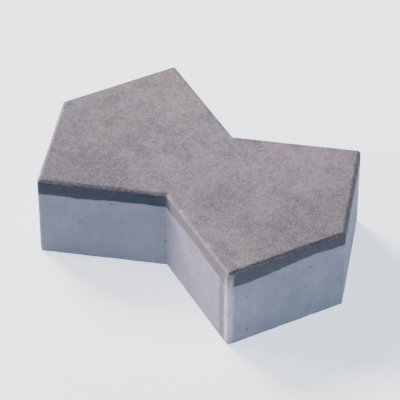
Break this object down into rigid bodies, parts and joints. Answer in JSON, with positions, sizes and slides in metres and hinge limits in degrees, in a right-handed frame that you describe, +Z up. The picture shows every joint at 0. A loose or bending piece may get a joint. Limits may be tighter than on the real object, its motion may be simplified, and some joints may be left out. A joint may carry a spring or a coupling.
{
  "type": "paving stone",
  "caption": "Interlocking concrete paving stone: bow-tie outline with pointed noses and bent-in waists, flat bed face, flat wearing face with a narrow bevel round it.",
  "frame": {"origin": "on the bed face, under the middle of the stone", "axes": "+X from the waist to a nose, the stone's longest way; +Z up from the bed face to the wearing face"},
  "size_m": [0.2966, 0.194, 0.08],
  "materials": {
    "concrete": "fine-grained pressed concrete, lilac-grey and faintly clouded, with a dark face mix showing as a band round the top of the plain blue-grey sides"
  },
  "bodies": {
    "root": {"paving_stone": "concrete"}
  },
  "joints": []
}
